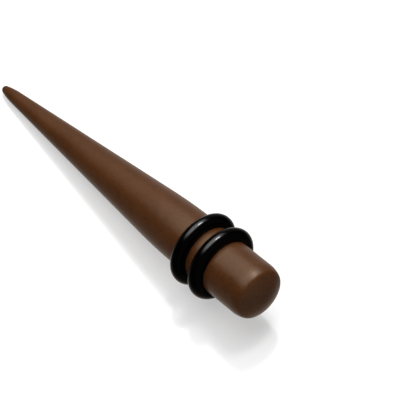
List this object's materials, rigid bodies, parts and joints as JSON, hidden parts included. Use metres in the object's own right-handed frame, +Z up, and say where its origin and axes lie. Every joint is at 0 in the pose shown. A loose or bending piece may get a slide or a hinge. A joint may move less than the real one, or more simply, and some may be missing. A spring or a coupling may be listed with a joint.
{
  "type": "ear stretching taper",
  "caption": "Solid round spike that widens from a blunt point to a straight shank with a softly domed butt, with soft rings seated in shallow grooves near the butt.",
  "frame": {"origin": "on the surface it lies on, under the middle of the box that holds the whole part", "axes": "+X along the spike from the tip to the butt, level; +Z up; +Y across. The spike's own axis rises 6.23 degrees towards the butt, because it lies on its rear ring and its nose"},
  "size_m": [0.0704, 0.0136, 0.0141],
  "materials": {
    "spike": "matte soft-touch brown",
    "ring": "smooth black, slightly glossy"
  },
  "bodies": {
    "root": {"taper": "spike", "ring_rear": "ring", "ring_front": "ring"}
  },
  "joints": []
}
